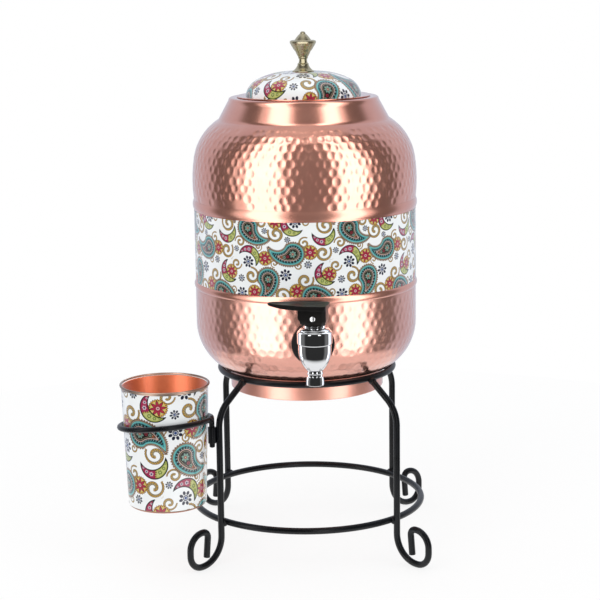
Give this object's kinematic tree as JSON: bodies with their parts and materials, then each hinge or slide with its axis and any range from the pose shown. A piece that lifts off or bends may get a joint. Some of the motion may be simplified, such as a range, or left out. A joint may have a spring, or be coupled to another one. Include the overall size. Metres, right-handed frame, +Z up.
{
  "type": "copper water dispenser",
  "caption": "Lidded copper water vessel on a black wire stand, with a lever tap at the front and a tumbler in a swing-out wire holder.",
  "frame": {"origin": "on the floor, on the vertical axis of the stand and the vessel", "axes": "+Z up, -Y towards the front where the tap is, +X to the right seen from the front"},
  "size_m": [0.2648, 0.2354, 0.44],
  "materials": {
    "black_iron": "satin black coat on iron rod",
    "hammered_copper": "hammered, satin lacquered copper",
    "smooth_copper": "spun, satin lacquered copper",
    "paisley_print": "printed enamel with a paisley pattern on white",
    "chrome_plate": "bright chrome plate",
    "black_rubber": "matt moulded rubber",
    "plain_steel": "plain steel",
    "turned_brass": "turned and polished brass",
    "black_plastic": "moulded black plastic"
  },
  "bodies": {
    "stand": {"top_ring": "black_iron", "bottom_ring": "black_iron", "leg_front_right": "black_iron", "leg_back_right": "black_iron", "leg_back_left": "black_iron", "leg_front_left": "black_iron", "top_welds": "black_iron", "bottom_welds": "black_iron", "holder_socket": "black_iron"},
    "vessel": {"lower_bowl": "hammered_copper", "middle_drum": "smooth_copper", "printed_band": "paisley_print", "upper_body": "hammered_copper", "foot_ring": "smooth_copper", "tap_body": "chrome_plate", "tap_bonnet": "chrome_plate", "outer_washer": "black_rubber", "inner_washer": "black_rubber", "lock_nut": "turned_brass", "valve_spring": "plain_steel"},
    "valve": {"valve_plug": "black_rubber"},
    "stem": {"valve_stem": "chrome_plate"},
    "lever": {"lever_handle": "black_plastic", "lever_pin": "plain_steel"},
    "lid": {"lid_dome": "smooth_copper", "lid_print": "paisley_print", "lid_skirt": "smooth_copper", "finial": "turned_brass", "finial_washer": "plain_steel", "finial_screw": "plain_steel"},
    "holder": {"holder_ring": "black_iron", "holder_weld": "black_iron"},
    "tumbler": {"tumbler_cup": "smooth_copper", "tumbler_wrap": "paisley_print"}
  },
  "joints": [
    {"name": "vessel_lift", "type": "slide", "parent": "stand", "child": "vessel", "axis": [0, 0, 1], "range_m": [0, 0.08]},
    {"name": "lid_lift", "type": "slide", "parent": "vessel", "child": "lid", "axis": [0, 0, 1], "range_m": [0, 0.06]},
    {"name": "valve_lift", "type": "slide", "parent": "vessel", "child": "valve", "axis": [0, 0, 1], "range_m": [0, 0.00348], "stiffness_N_per_m": 400, "springref_m": -0.01, "deforming": ["valve_spring"]},
    {"name": "lever_swivel", "type": "hinge", "parent": "valve", "child": "stem", "pos_m": [0.00607, -0.11985, 0.214], "axis": [0, 0, 1], "range_deg": [-10, 195]},
    {"name": "lever_tilt", "type": "hinge", "parent": "stem", "child": "lever", "pos_m": [0.00607, -0.11985, 0.22], "axis": [-0.2096, -0.9778, 0], "range_deg": [0, 35.2]},
    {"name": "holder_swing", "type": "hinge", "parent": "stand", "child": "holder", "pos_m": [-0.0797, -0.07499, 0.1055], "axis": [0, 0, 1], "range_deg": [0, 45]},
    {"name": "tumbler_lift", "type": "slide", "parent": "holder", "child": "tumbler", "axis": [0, 0, 1], "range_m": [0, 0.12]}
  ],
  "couplings": [
    {"joint": "lever_tilt", "follows": "valve_lift", "rad_per_m": 175.44}
  ]
}
